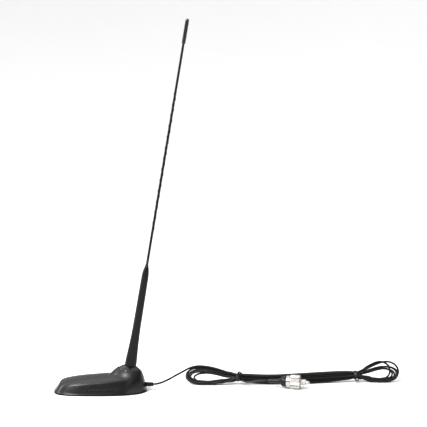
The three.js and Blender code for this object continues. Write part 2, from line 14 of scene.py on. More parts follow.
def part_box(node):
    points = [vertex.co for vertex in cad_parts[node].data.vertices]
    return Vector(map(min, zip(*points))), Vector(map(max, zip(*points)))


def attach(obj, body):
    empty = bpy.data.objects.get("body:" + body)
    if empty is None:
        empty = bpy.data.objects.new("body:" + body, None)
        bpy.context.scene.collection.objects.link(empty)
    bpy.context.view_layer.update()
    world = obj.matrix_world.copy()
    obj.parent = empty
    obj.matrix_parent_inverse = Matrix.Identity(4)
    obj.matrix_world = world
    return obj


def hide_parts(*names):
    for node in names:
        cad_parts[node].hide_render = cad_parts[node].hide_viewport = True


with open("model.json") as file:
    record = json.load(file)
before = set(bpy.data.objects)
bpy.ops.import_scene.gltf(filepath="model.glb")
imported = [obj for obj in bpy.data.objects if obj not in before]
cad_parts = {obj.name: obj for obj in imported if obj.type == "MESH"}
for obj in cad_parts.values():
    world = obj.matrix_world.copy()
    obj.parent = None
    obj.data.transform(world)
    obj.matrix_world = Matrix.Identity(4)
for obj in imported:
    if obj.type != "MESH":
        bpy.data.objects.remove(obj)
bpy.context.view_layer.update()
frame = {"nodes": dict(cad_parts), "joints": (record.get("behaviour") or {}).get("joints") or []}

MM = 0.001
UP = Vector((0, 0, 1))
JOINTS = {joint["name"]: joint for joint in frame["joints"]}


def node_box(node):
    """A node's lowest and highest corners in millimetres."""
    low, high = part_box(node)
    return low / MM, high / MM


def middle_x(node):
    low, high = node_box(node)
    return (low.x + high.x) / 2


# -------- camera

CAMERA_DISTANCE = 1980
CAMERA_ELEVATION = 13.9  # degrees above the floor, seen from the base
CAMERA_X = 146.5
CAMERA_PITCH = 7.42  # degrees downwards
LENS_MM = 131.4


def make_camera():
    data = bpy.data.cameras.new("camera")
    data.lens = LENS_MM
    data.sensor_width = 36
    data.clip_end = 50
    camera = bpy.data.objects.new("camera", data)
    bpy.context.scene.collection.objects.link(camera)
    height = CAMERA_DISTANCE * math.tan(math.radians(CAMERA_ELEVATION))
    camera.location = Vector((CAMERA_X, -CAMERA_DISTANCE, height)) * MM
    camera.rotation_euler = (math.radians(90 - CAMERA_PITCH), 0, 0)
    bpy.context.scene.camera = camera


make_camera()


# -------- mesh tools


def link(name, data):
    made = bpy.data.objects.new(name, data)
    bpy.context.scene.collection.objects.link(made)
    return made


def mesh_piece(name, points, faces):
    """A smooth-shaded mesh object from points in millimetres."""
    mesh = bpy.data.meshes.new(name)
    mesh.from_pydata([tuple(c * MM for c in p) for p in points], [], faces)
    mesh.validate()
    for polygon in mesh.polygons:
        polygon.use_smooth = True
    return link(name, mesh)


def skin(rings, caps=(True, True), loop=False, tips=(None, None)):
    """Points and faces of the skin over rings of points, with flat or pointed ends."""
    count = len(rings[0])
    points = [tuple(p) for ring in rings for p in ring]
    faces = []
    rows = len(rings) if loop else len(rings) - 1
    for row in range(rows):
        low = row * count
        high = ((row + 1) % len(rings)) * count
        for i in range(count):
            j = (i + 1) % count
            faces.append((low + i, low + j, high + j, high + i))
    if loop:
        return points, faces
    last = (len(rings) - 1) * count
    for end, tip, start in ((0, tips[0], 0), (1, tips[1], last)):
        if not caps[end]:
            continue
        if tip is None:
            face = tuple(start + i for i in range(count))
            faces.append(face[::-1] if end == 0 else face)
            continue
        points.append(tuple(tip))
        for i in range(count):
            j = (i + 1) % count
            side = (start + i, start + j, len(points) - 1)
            faces.append(side[::-1] if end == 0 else side)
    return points, faces


def fillet(profile, radius=0.3, steps=3):
    """A closed or open profile of (radius, height) pairs with each corner rounded.

    A third value in a corner is that corner's own radius.
    """
    closed = profile[0][:2] == profile[-1][:2]
    corners = profile[:-1] if closed else profile
    made = []
    for i, corner in enumerate(corners):
        here = Vector(corner[:2])
        own = corner[2] if len(corner) > 2 else radius
        if not closed and i in (0, len(corners) - 1):
            made.append(tuple(here))
            continue
        before = Vector(corners[i - 1][:2]) - here
        after = Vector(corners[(i + 1) % len(corners)][:2]) - here
        reach = min(own, 0.45 * before.length, 0.45 * after.length)
        if reach < 0.01:
            made.append(tuple(here))
            continue
        a = here + before.normalized() * reach
        b = here + after.normalized() * reach
        for k in range(steps + 1):
            t = k / steps
            made.append(tuple(a * (1 - t) ** 2 + here * 2 * t * (1 - t) + b * t**2))
    if closed:
        made.append(made[0])
    return made


def turned(name, profile, at=None, sides=48, radius_at=None):
    """A turned piece about +Z, from a profile that closes on itself or starts and ends on the axis."""
    closed = profile[0] == profile[-1]
    rows = profile[:-1] if closed else profile
    angles = [2 * math.pi * i / sides for i in range(sides)]

    def ring(radius, height):
        made = []
        for angle in angles:
            r = radius_at(radius, height, angle) if radius_at else radius
            made.append((r * math.cos(angle), r * math.sin(angle), height))
        return made

    if closed:
        points, faces = skin([ring(*row) for row in rows], loop=True)
    else:
        tips = ((0, 0, rows[0][1]), (0, 0, rows[-1][1]))
        points, faces = skin([ring(*row) for row in rows[1:-1]], tips=tips)
    piece = mesh_piece(name, points, faces)
    if at is not None:
        piece.data.transform(at)
    return piece


def axis_frame(joint):
    """The frame whose +Z is a joint's axis, in metres."""
    axis = Vector(joint["axis"]).normalized()
    side = UP.cross(axis)
    side = side.normalized() if side.length > 0.01 else Vector((0, 1, 0))
    turn = Matrix((side.cross(axis), side, axis)).transposed().to_4x4()
    return Matrix.Translation(joint["pos_m"]) @ turn


MAST = axis_frame(JOINTS["mast_unscrew"])
PLUG = axis_frame(JOINTS["ring_spin"])


# -------- the lead and its hank

CORD_RADIUS = 1.3
HANK_LOW, HANK_HIGH = node_box("cable_hank")
TIES = [middle_x("twist_tie_left"), middle_x("twist_tie_right")]

LEAD_ROUTE = [
    (68.3, 0, 8.5),
    (72, 0.4, 8.8),
    (77, 2.4, 9.5),
    (84, 8, 11),
    (90.5, 14, 12.9),
    (97, 21, 15.2),
    (103, 28, 17),
    (107, 33, 17.6),
]
LEAD_RISE = ((113, 21.5), (125, 24), (141, 21.5), (157, 17.5))  # x and rise of the lead over the left loop
LEAD_LAYER = 3.2
TAIL_ROUTE = [
    (188, 24.4, 6),
    (194, 22.2, 6.2),
    (201, 20.3, 7.2),
    (208, 18.9, 8.6),
    (216.2, 17.4, 9.15),
]

STRAND = 2.68  # room that each strand takes
BUNDLE_Y = 35.5
LOOP_FRONT = 31.0  # the loops stand on this line and lean back from it
LOOP_LEAN = math.radians(60)
TIE_HALF = (6.7, 4.8)  # half width and half height of the bundle under a tie
TIE_HEIGHT = 9.3
TIE_REACH = 14  # how far from a tie the strands still rise to it
TIE_PRESS = 0.8  # how closely a tie packs the rows
ROW_RISE = (0.88, 0.17)  # height of a free row in strands, and how much more it is at the right
FREE_LIFT = (0.2, 0.7)  # gap under the lowest row, and how much more it is at the right
LOOSER = (225, 275)  # where that changes
DRIFT = 13.5  # how far the hank's right end lies behind its left
DRIFT_RUN = (250, 335)  # where it moves back

# Each turn's loop: how high it rises up the leaning plane, how far in its end lies, how far it stands out.
LEFT_LOOPS = [(23, -1.6, 0), (23, -0.6, 2.7), (20, 1, 0), (19.5, 2, 2.7), (15.5, 9, 0), (16.5, 4, 2.7)]
RIGHT_LOOPS = [(28.8, -1.6, 0), (27.8, 10, 1.4), (21.5, -1, 0), (20.5, 1, 2.7), (18.5, 3.5, 0), (18, 7, 2.7)]
LEFT_RUNS = (0, 1, 2, 3, 4, 5)  # place in the bundle of each turn's run towards the left loop
RIGHT_RUNS = (10, 7, 11, 8, 12, 9, 6)
LOOP_LIFT = 0.16  # how much higher a loop starts, as a share of how far in its end lies
LOOP_SHAPE = [  # a loop's outline from under the tie round its end: how far along and how far up
    (0.27, 0.17), (0.42, 0.07), (0.6, 0.0), (0.8, 0.03), (0.93, 0.16), (1.0, 0.47), (0.95, 0.78),
    (0.83, 0.96), (0.66, 1.0), (0.42, 0.8), (0.25, 0.58),
]


def smoothstep(value, low, high):
    t = np.clip((value - low) / (high - low), 0, 1)
    return t * t * (3 - 2 * t)


def drift(x):
    return DRIFT * smoothstep(x, *DRIFT_RUN)


def bundle_slots():
    """Places of the strands in the tied bundle, in rows of three and two: how far back, and which row."""
    slots = []
    for row in range(5):
        count = 3 if row % 2 == 0 else 2
        for i in range(count):
            slots.append((BUNDLE_Y + (i - (count - 1) / 2) * STRAND, row))
    return slots


def bundle_point(x, back, row):
    """A strand's place at x: rows rest on the floor between the ties and rise to each tie."""
    looser = smoothstep(x, *LOOSER)
    rows = (ROW_RISE[0] + ROW_RISE[1] * looser) * STRAND
    tied = max(math.exp(-(((x - tie) / TIE_REACH) ** 2)) for tie in TIES)
    free = CORD_RADIUS + FREE_LIFT[0] + FREE_LIFT[1] * looser + row * rows
    held = TIE_HEIGHT + (row - 2) * TIE_PRESS * STRAND
    return (x, back + drift(x), free + (held - free) * tied)


def loop_point(x, rise, layer):
    """A point of a loop: rise is measured up the leaning plane and layer out of it."""
    y = LOOP_FRONT + rise * math.cos(LOOP_LEAN) - layer * math.sin(LOOP_LEAN) + drift(x)
    z = CORD_RADIUS + 0.1 + rise * math.sin(LOOP_LEAN) + layer * math.cos(LOOP_LEAN)
    return (x, y, z)


def loop(end, tie, height, inner, layer):
    """From the bundle's lower side round a loop's far end to its upper side."""
    reach = end - math.copysign(1, end - tie) * inner - tie
    low = LOOP_LIFT * max(inner, 0)
    return [loop_point(tie + reach * share, low + (height - low) * up, layer) for share, up in LOOP_SHAPE]


def hank_route():
    """Control points of the whole lead, wound end to end."""
    slots = bundle_slots()
    left_tie, right_tie = TIES
    left_end = HANK_LOW.x + CORD_RADIUS
    right_end = HANK_HIGH.x - CORD_RADIUS
    width = right_tie - left_tie
    forward = [left_tie - 6, left_tie, left_tie + 8]
    forward += [left_tie + width * share for share in (0.25, 0.5, 0.75)]
    forward += [right_tie - 8, right_tie, right_tie + 6]

    def run(slot, xs):
        return [bundle_point(x, *slots[slot]) for x in xs]

    points = list(LEAD_ROUTE)
    points += [loop_point(x, rise, LEAD_LAYER) for x, rise in LEAD_RISE]
    for turn, (left, right) in enumerate(zip(LEFT_LOOPS, RIGHT_LOOPS)):
        points += run(RIGHT_RUNS[turn], forward)
        points += loop(right_end, right_tie, *right)[::-1]
        points += run(LEFT_RUNS[turn], forward[::-1])
        points += loop(left_end, left_tie, *left)
    points += run(RIGHT_RUNS[-1], forward[:2])
    return points + TAIL_ROUTE


SPAN_STEPS = 12  # fine steps between two control points


def along(points, step):
    """The smooth curve through points, at even steps."""
    p = np.array(points, float)
    p = np.vstack([2 * p[0] - p[1], p, 2 * p[-1] - p[-2]])
    t = np.linspace(0, 1, SPAN_STEPS, endpoint=False)[:, None]
    fine = []
    for a, b, c, d in zip(p[:-3], p[1:-2], p[2:-1], p[3:]):
        line = 2 * b + (c - a) * t + (2 * a - 5 * b + 4 * c - d) * t**2 + (3 * b - a - 3 * c + d) * t**3
        fine.append(line / 2)
    fine = np.vstack([*fine, p[-2:-1]])
    length = np.concatenate([[0], np.cumsum(np.linalg.norm(np.diff(fine, axis=0), axis=1))])
    at = np.linspace(0, length[-1], int(round(length[-1] / step)) + 1)
    return np.column_stack([np.interp(at, length, fine[:, i]) for i in range(3)])


BATCH = 200  # points compared at a time
NEIGHBOURS = 3  # points along the line that may be close


def near_pairs(line, reach):
    """Pairs of points closer than reach that aren't neighbours along the line."""
    first, second = [], []
    for start in range(0, len(line), BATCH):
        far = np.linalg.norm(line[start : start + BATCH, None] - line[None], axis=2)
        i, j = np.nonzero(far < reach)
        i += start
        keep = j > i + NEIGHBOURS
        first.append(i[keep])
        second.append(j[keep])
    return np.concatenate(first), np.concatenate(second)


SOLVE_STEP = 3.0
SOLVE_ROUNDS = 280
SOLVE_LAST = 80  # rounds at the end that mostly make room
SMOOTHING = (0.3, 0.1)  # how much a round smooths, before the last rounds and during them
PULL_BACK = (0.015, 0.004)  # how much it pulls back to the planned route
PUSH = 0.42  # share of an overlap that each of two strands gives way
SEARCH_EVERY = 8  # rounds
SEARCH_REACH = 2.2  # strand widths
FIXED_ENDS = (9, 10)  # points at each end that stay in place
TIE_HOLD = 3  # half the length that a tie holds
LEAST = 0.05  # keeps distances off zero, and strands off the floor


def settle(line):
    """Pushes strands a strand's width apart, in the ties and above the floor, and keeps them smooth."""
    line = line.copy()
    target = line.copy()
    segment = np.linalg.norm(np.diff(line, axis=0), axis=1)
    fixed = np.zeros(len(line), bool)
    fixed[: FIXED_ENDS[0]] = True
    fixed[-FIXED_ENDS[1] :] = True
    held = line[fixed].copy()
    tie_room = np.array(TIE_HALF) - CORD_RADIUS
    for turn in range(SOLVE_ROUNDS):
        last = turn >= SOLVE_ROUNDS - SOLVE_LAST
        line[1:-1] += SMOOTHING[last] * ((line[:-2] + line[2:]) / 2 - line[1:-1])
        line += PULL_BACK[last] * (target - line)
        if turn % SEARCH_EVERY == 0:
            i, j = near_pairs(line, SEARCH_REACH * STRAND)
        apart = line[j] - line[i]
        far = np.maximum(np.linalg.norm(apart, axis=1), LEAST)
        push = PUSH * (np.maximum(STRAND - far, 0) / far)[:, None] * apart
        np.add.at(line, i, -push)
        np.add.at(line, j, push)
        for tie in TIES:
            inside = np.abs(line[:, 0] - tie) < TIE_HOLD
            middle = (BUNDLE_Y + drift(tie), TIE_HEIGHT)
            offset = line[inside][:, 1:] - middle
            out = np.linalg.norm(offset / tie_room, axis=1)
            pulled = offset / np.maximum(out, 1)[:, None] + middle
            line[inside, 1:] = (line[inside, 1:] + pulled) / 2
        for odd in (0, 1):
            count = (len(line) - odd) // 2
            a, b = line[odd::2][:count], line[odd + 1 :: 2][:count]
            across = b - a
            far = np.maximum(np.linalg.norm(across, axis=1), LEAST)
            fix = 0.5 * ((far - segment[odd::2][:count]) / far)[:, None] * across
            line[odd::2][:count] += fix
            line[odd + 1 :: 2][:count] -= fix
        line[:, 2] = np.maximum(line[:, 2], CORD_RADIUS + LEAST)
        line[fixed] = held
    return line


def cord_curve(name, line, radius):
    """A round cord along points, as one smooth open spline."""
    data = bpy.data.curves.new(name, "CURVE")
    data.dimensions = "3D"
    data.bevel_depth = radius * MM
    data.bevel_resolution = 3
    data.use_fill_caps = True
    spline = data.splines.new("POLY")
    spline.points.add(len(line) - 1)
    for point, centre in zip(spline.points, line):
        point.co = (*(c * MM for c in centre), 1)
    spline.use_smooth = True
    return link(name, data)


CORD_STEP = 1.5
CORD_LINE = along(settle(along(hank_route(), SOLVE_STEP)), CORD_STEP)
cable = cord_curve("coaxial_lead", CORD_LINE, CORD_RADIUS)


TIED_LENGTH = 2.5  # strands this near a tie's middle shape it


def hull_point(tie, angle, clearance):
    """A point just off the tied bundle, at an angle in the plane across it, and the way out."""
    strands = CORD_LINE[np.abs(CORD_LINE[:, 0] - tie) < TIED_LENGTH][:, 1:]
    out = np.array([math.cos(angle), math.sin(angle)])
    outermost = strands[np.argmax(strands @ out)]
    return outermost + out * (CORD_RADIUS + clearance), out


# -------- materials


class Surface:
    """A Principled material, with short calls for the nodes that colour it and roughen it."""

    def __init__(self, name, settings):
        self.material = bpy.data.materials.new(name)
        self.material.use_nodes = True
        self.tree = self.material.node_tree
        self.shader = self.tree.nodes["Principled BSDF"]
        for socket, value in settings.items():
            self.shader.inputs[socket].default_value = value
        self.place = self.add("ShaderNodeTexCoord").outputs["Object"]

    def add(self, kind, inputs=None, **settings):
        made = self.tree.nodes.new(kind)
        for key, value in settings.items():
            setattr(made, key, value)
        for socket, value in (inputs or {}).items():
            if isinstance(value, bpy.types.NodeSocket):
                self.tree.links.new(value, made.inputs[socket])
            else:
                made.inputs[socket].default_value = value
        return made

    def noise(self, size, detail=3, stretch=(1, 1, 1)):
        """Noise from 0 to 1 whose lumps are about size millimetres, drawn out by stretch."""
        scale = [1 / (size * MM * s) for s in stretch]
        place = self.add("ShaderNodeMapping", {"Vector": self.place, "Scale": scale}).outputs["Vector"]
        noise = self.add("ShaderNodeTexNoise", {"Vector": place, "Scale": 1.0, "Detail": detail})
        return noise.outputs["Fac"]

    def cells(self, size):
        voronoi = self.add("ShaderNodeTexVoronoi", {"Vector": self.place, "Scale": 1 / (size * MM)})
        return voronoi.outputs["Distance"]

    def bands(self, width, direction, waver=1.0):
        wave = {"Vector": self.place, "Scale": 0.314 / (width * MM), "Distortion": waver, "Detail Scale": 2.0}
        return self.add("ShaderNodeTexWave", wave, bands_direction=direction).outputs["Fac"]

    def span(self, value, low, high, start=0.3, end=0.7):
        """value between start and end becomes low to high."""
        inputs = {"Value": value, "From Min": start, "From Max": end, "To Min": low, "To Max": high}
        return self.add("ShaderNodeMapRange", inputs).outputs["Result"]

    def mixed(self, share, first, second):
        mix = self.add("ShaderNodeMix", {0: share}, data_type="RGBA")
        for index, value in ((6, first), (7, second)):
            if isinstance(value, bpy.types.NodeSocket):
                self.tree.links.new(value, mix.inputs[index])
            else:
                mix.inputs[index].default_value = value
        return mix.outputs[2]

    def edges(self, start=0.52, end=0.6):
        """1 on worn outer edges."""
        geometry = self.add("ShaderNodeNewGeometry")
        return self.span(geometry.outputs["Pointiness"], 0, 1, start, end)

    def colour(self, socket):
        self.tree.links.new(socket, self.shader.inputs["Base Color"])

    def roughness(self, socket):
        self.tree.links.new(socket, self.shader.inputs["Roughness"])

    def relief(self, *heights):
        """Bumps on bumps: pairs of a height socket and its depth in millimetres."""
        normal = None
        for height, depth in heights:
            inputs = {"Height": height, "Strength": 1.0, "Distance": depth * MM}
            if normal is not None:
                inputs["Normal"] = normal
            normal = self.add("ShaderNodeBump", inputs).outputs["Normal"]
        self.tree.links.new(normal, self.shader.inputs["Normal"])


def grey(level, tint=0.0):
    """A near-neutral colour, cooler with more tint."""
    return (level, level * (1 + tint / 2), level * (1 + tint), 1)


WORN = 0.012  # grey level of a worn edge


def moulded(name, level, rough, grain, depth, gloss):
    """Black moulded plastic: faint clouding, a fine grain and paler worn edges."""
    surface = Surface(name, {"Specular IOR Level": gloss})
    cloud = surface.mixed(surface.noise(14), grey(level * 0.85), grey(level * 1.2, 0.05))
    surface.colour(surface.mixed(surface.span(surface.edges(), 0, 0.5, 0, 1), cloud, grey(WORN)))
    surface.roughness(surface.span(surface.noise(5, 5), rough[0], rough[1]))
    surface.relief((surface.noise(grain, 2), depth), (surface.noise(9, 2), depth * 1.5))
    return surface.material


def shell_plastic():
    return moulded("shell_plastic", 0.004, (0.26, 0.33), 0.32, 0.004, 0.3)


def collar_plastic():
    return moulded("collar_plastic", 0.003, (0.1, 0.16), 0.5, 0.002, 0.5)


def inner_plastic():
    return moulded("inner_plastic", 0.012, (0.42, 0.55), 0.5, 0.01, 0.4)


def mast_plastic():
    return moulded("mast_plastic", 0.003, (0.32, 0.42), 0.4, 0.005, 0.16)


def whip_plastic():
    surface = Surface("whip_plastic", {"Specular IOR Level": 0.12})
    streaks = surface.noise(1.2, 3, (1, 1, 14))
    surface.colour(surface.mixed(streaks, grey(0.003), grey(0.006)))
    surface.roughness(surface.span(streaks, 0.34, 0.46))
    surface.relief((streaks, 0.008), (surface.noise(0.3, 2), 0.004))
    return surface.material


def pad_rubber():
    surface = Surface("pad_rubber", {"Specular IOR Level": 0.12})
    dust = surface.span(surface.noise(3, 6), 0, 1, 0.5, 0.8)
    surface.colour(surface.mixed(dust, grey(0.005), grey(0.012)))
    surface.roughness(surface.span(surface.noise(2, 4), 0.62, 0.82))
    surface.relief((surface.noise(0.35, 3), 0.02), (surface.cells(0.9), 0.01))
    return surface.material


def cable_jacket():
    surface = Surface("cable_jacket", {"Specular IOR Level": 0.2})
    streaks = surface.noise(2, 4, (5, 1, 1))
    surface.colour(surface.mixed(surface.noise(9, 5), grey(0.003), grey(0.007)))
    surface.roughness(surface.span(streaks, 0.3, 0.42))
    surface.relief((surface.noise(0.4, 2), 0.008), (streaks, 0.02))
    return surface.material


def tie_plastic():
    surface = Surface("tie_plastic", {"Specular IOR Level": 0.25})
    creases = surface.noise(0.8, 3, (1, 1, 3))
    surface.colour(surface.mixed(creases, grey(0.004), grey(0.008)))
    surface.roughness(surface.span(creases, 0.24, 0.4))
    surface.relief((creases, 0.06))
    return surface.material


def bright_metal(name, dark, light, rough, grain=(1, 1, 1), depth=0.004):
    """Plated or turned metal: smudges in its gloss and fine drawn-out marks."""
    surface = Surface(name, {"Metallic": 1.0})
    marks = surface.noise(0.25, 4, grain)
    surface.colour(surface.mixed(surface.noise(6, 5), dark, light))
    gloss = surface.add("ShaderNodeMath", {0: surface.noise(3.5, 5), 1: marks}, operation="MULTIPLY")
    surface.roughness(surface.span(gloss.outputs[0], rough[0], rough[1], 0.1, 0.42))
    surface.relief((marks, depth))
    return surface.material


def steel():
    return bright_metal("steel", (0.46, 0.46, 0.47, 1), (0.62, 0.62, 0.6, 1), (0.24, 0.42), (1, 8, 1))


def brass():
    return bright_metal("brass", (0.55, 0.38, 0.15, 1), (0.74, 0.54, 0.24, 1), (0.18, 0.34), (3, 3, 1))


def nickel():
    return bright_metal("nickel", (0.4, 0.39, 0.37, 1), (0.54, 0.53, 0.5, 1), (0.12, 0.26), (1, 4, 4), 0.002)


def dark_nickel():
    dark, light = (0.03, 0.03, 0.032, 1), (0.06, 0.06, 0.062, 1)
    return bright_metal("dark_nickel", dark, light, (0.25, 0.4), (4, 4, 1), 0.002)


def copper_wire():
    """Enamelled winding: a band for each turn of wire, under clear varnish."""
    surface = Surface("copper_wire", {"Metallic": 1.0, "Coat Weight": 0.8, "Coat Roughness": 0.08})
    turns = surface.bands(0.5, "Z", 0.3)
    surface.colour(surface.mixed(turns, (0.2, 0.06, 0.02, 1), (0.55, 0.19, 0.07, 1)))
    surface.roughness(surface.span(surface.noise(2, 3), 0.25, 0.38))
    surface.relief((turns, 0.12))
    return surface.material


def ferrite():
    surface = Surface("ferrite", {})
    grains = surface.cells(0.35)
    surface.colour(surface.mixed(surface.noise(2, 6), grey(0.03), grey(0.065, 0.05)))
    surface.roughness(surface.span(grains, 0.55, 0.85, 0.1, 0.6))
    surface.relief((grains, 0.02), (surface.noise(4, 5), 0.08))
    return surface.material


def board_laminate():
    """Woven glass under a green mask."""
    surface = Surface("board_laminate", {"Coat Weight": 0.4, "Coat Roughness": 0.15})
    across = surface.bands(0.5, "X", 0.2)
    along_y = surface.bands(0.5, "Y", 0.2)
    weave = surface.add("ShaderNodeMath", {0: across, 1: along_y}, operation="MULTIPLY").outputs[0]
    surface.colour(surface.mixed(weave, (0.01, 0.06, 0.02, 1), (0.02, 0.12, 0.04, 1)))
    surface.roughness(surface.span(surface.noise(3, 4), 0.3, 0.45))
    surface.relief((weave, 0.02))
    return surface.material


def fibreglass():
    surface = Surface("fibreglass", {"Coat Weight": 0.3})
    strands = surface.noise(0.3, 4, (1, 1, 30))
    surface.colour(surface.mixed(strands, (0.4, 0.34, 0.18, 1), (0.62, 0.55, 0.34, 1)))
    surface.roughness(surface.span(strands, 0.3, 0.5))
    surface.relief((strands, 0.02))
    return surface.material


def ceramic():
    surface = Surface("ceramic", {"Coat Weight": 0.5})
    surface.colour(surface.mixed(surface.noise(1.5, 5), (0.42, 0.16, 0.03, 1), (0.55, 0.24, 0.06, 1)))
    surface.roughness(surface.span(surface.noise(1, 3), 0.25, 0.4))
    surface.relief((surface.noise(0.8, 4), 0.03))
    return surface.material


def pale_insulator():
    glow = {"Subsurface Weight": 0.15, "Subsurface Radius": (0.001, 0.0008, 0.0006)}
    surface = Surface("pale_insulator", glow)
    surface.colour(surface.mixed(surface.noise(3, 5), (0.36, 0.33, 0.31, 1), (0.46, 0.43, 0.4, 1)))
    surface.roughness(surface.span(surface.noise(1.5, 4), 0.32, 0.46))
    surface.relief((surface.noise(0.4, 3), 0.008))
    return surface.material


MATERIALS = {
    make.__name__: make()
    for make in (
        shell_plastic, collar_plastic, inner_plastic, mast_plastic, whip_plastic, pad_rubber,
        cable_jacket, tie_plastic, steel, brass, nickel, dark_nickel, copper_wire, ferrite,
        board_laminate, fibreglass, ceramic, pale_insulator,
    )
}


def place(piece, body, slot, *nodes):
    """Gives a piece its material and its body, and hides the CAD nodes that it stands for."""
    piece.data.materials.append(MATERIALS[slot])
    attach(piece, body)
    if nodes:
        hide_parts(*nodes)
    return piece


# -------- base shell

BASE_HALF = (60, 32)
NOSE_FULLNESS = 3.6
TAIL_FULLNESS = 2.4
RIM = 2.1
WALL = 2.4
CUT_ANGLE = math.radians(32)  # edges sharper than this stay crisp
OUTLINE_SIDES = 240

# The shell's outside. A place on it is a share: the size of its plan outline against the base's own.
RIDGE_AT = 0.88
RIDGE_HEIGHT = 16.3  # at the base's middle
RIDGE_SLOPE = 0.08  # it rises to the rear
WALL_ROUND = 0.15  # share of the side wall's height that bulges
CROWN_AT = 0.84
CROWN_STEP = 0.6  # how much higher the crown starts than the ridge
CROWN_RISE = 3.2
CROWN_FULLNESS = 3
GROOVE_AT = 0.838
GROOVE_DEPTH = 0.55
GROOVE_WIDTH = 0.008
DOME_X = 39.5
DOME_HEIGHT = 36.2
DOME_FRONT = 34.5
DOME_REAR = 20
DOME_SIDE = 22.6
DOME_FLARE = 0.4
DOME_BLEND = 4
RIM_FULLNESS = 30  # how tightly the outside turns down to the rim

# Round cuts: radius, start and end. The first three are along the mast.
BOSS = (18, -10.5, -2.5)  # stays solid under the collar
COLLAR_SEAT = (15.4, -6.5, 20)
STUD_HOLE = (3.2, -15.5, 0)
SCREW_POST = (2.8, 5, 30)  # stays solid too
SCREW_HOLE = (1.65, 0, 9.7)
GLAND_HOLE = (3.3, 48, 64)
GLAND = Matrix.Translation((0, 0, LEAD_ROUTE[0][2] * MM)) @ Matrix.Rotation(math.pi / 2, 4, "Y")


def outline(angle, share=1.0, inset=0.0):
    """Points of the base's plan outline, a superellipse with a blunter nose than tail."""
    c, s = np.cos(angle), np.sin(angle)
    power = 2 / np.where(c < 0, NOSE_FULLNESS, TAIL_FULLNESS)
    x = share * (BASE_HALF[0] - inset) * np.sign(c) * np.abs(c) ** power
    y = share * (BASE_HALF[1] - inset) * np.sign(s) * np.abs(s) ** power
    return x, y


def smooth_max(a, b, reach):
    h = np.clip(reach - np.abs(a - b), 0, None) / reach
    return np.maximum(a, b) + h * h * reach / 4


def shell_height(x, y, share):
    """Height of the shell's outside: side wall, ridge, crown with its groove, and the dome blended in."""
    ridge = RIDGE_HEIGHT + RIDGE_SLOPE * x
    up = (1 - share) / (1 - RIDGE_AT)
    bulge = WALL_ROUND * np.sin(np.clip(up, 0, 1) * math.pi / 2)
    wall = RIM + (ridge - RIM) * (bulge + (1 - WALL_ROUND) * up)
    strip = ridge + CROWN_STEP * (RIDGE_AT - share) / (RIDGE_AT - CROWN_AT)
    crown = ridge + CROWN_STEP + CROWN_RISE * (1 - (share / CROWN_AT) ** CROWN_FULLNESS)
    groove = GROOVE_DEPTH * np.exp(-(((share - GROOVE_AT) / GROOVE_WIDTH) ** 2))
    body = -smooth_max(-wall, -(np.where(share > CROWN_AT, strip, crown) - groove), 1)
    across = (y / DOME_SIDE) ** 2
    lengthwise = (x - DOME_X) / np.where(x > DOME_X, DOME_REAR, DOME_FRONT)
    reach = lengthwise**2 + across / (1 + DOME_FLARE * across)
    dome = DOME_HEIGHT * np.sqrt(np.clip(1 - reach, 0, 1))
    return RIM + (smooth_max(body, dome, DOME_BLEND) - RIM) * np.sqrt(1 - share**RIM_FULLNESS)


def slipper(name, shares, sides, inset=0.0, drop=0.0, floor=RIM):
    """The closed space under the shell's outside, or under its inside when inset and dropped."""
    angles = np.linspace(0, 2 * math.pi, sides, endpoint=False)
    rings = []
    for share in [1.0, *shares]:
        x, y = outline(angles, share, inset)
        z = shell_height(*outline(angles, share), share) - drop if rings else np.full(sides, floor)
        rings.append(np.column_stack([x, y, z]))
    top = (0, 0, float(shell_height(np.array(0.0), np.array(0.0), 0.0)) - drop)
    points, faces = skin(rings, tips=((0, 0, floor), top))
    return mesh_piece(name, points, faces)


def cut(piece, cutter):
    """Cuts one mesh by another for good, and removes the cutter."""
    modifier = piece.modifiers.new("cut", "BOOLEAN")
    modifier.operation = "DIFFERENCE"
    modifier.object = cutter
    modifier.solver = "EXACT"
    evaluated = piece.evaluated_get(bpy.context.evaluated_depsgraph_get())
    mesh = bpy.data.meshes.new_from_object(evaluated)
    piece.modifiers.clear()
    old, piece.data = piece.data, mesh
    mesh.name = piece.name
    bpy.data.meshes.remove(old)
    bpy.data.objects.remove(cutter)


def crisp(piece, angle=CUT_ANGLE):
    """Smooth shading with edges sharper than angle kept."""
    for polygon in piece.data.polygons:
        polygon.use_smooth = True
    piece.data.set_sharp_from_angle(angle=angle)
    return piece


def round_bar(radius, low, high, at, sides=64):
    return turned("cutter", [(0, low), (radius, low), (radius, high), (0, high)], at, sides)


def upright(node):
    """The frame on the floor under a node's middle."""
    low, high = node_box(node)
    centre = (low + high) / 2
    return Matrix.Translation((centre.x * MM, centre.y * MM, 0))


def base_shell():
    near_rim = 1 - 0.03 * np.linspace(0, 1, 9) ** 2
    near_groove = np.linspace(0.872, 0.81, 36)
    shares = [*near_rim, *np.linspace(0.965, 0.875, 26), *near_groove, *np.linspace(0.8, 0.03, 44)]
    shell = slipper("slipper_shell", shares, OUTLINE_SIDES)
    hollow = slipper("hollow", [*np.linspace(1, 0.82, 14), *np.linspace(0.78, 0.08, 14)], 96, WALL, WALL, 0)
    screws = [upright(f"tray_screw_{i}") for i in (1, 2, 3, 4)]
    cut(hollow, round_bar(*BOSS, MAST))
    for screw in screws:
        cut(hollow, round_bar(*SCREW_POST, screw, 24))
    cut(shell, hollow)
    cut(shell, round_bar(*COLLAR_SEAT, MAST, 128))
    cut(shell, round_bar(*STUD_HOLE, MAST))
    for screw in screws:
        cut(shell, round_bar(*SCREW_HOLE, screw, 24))
    cut(shell, round_bar(*GLAND_HOLE, GLAND))
    place(crisp(shell), "base", "shell_plastic", "base_shell")


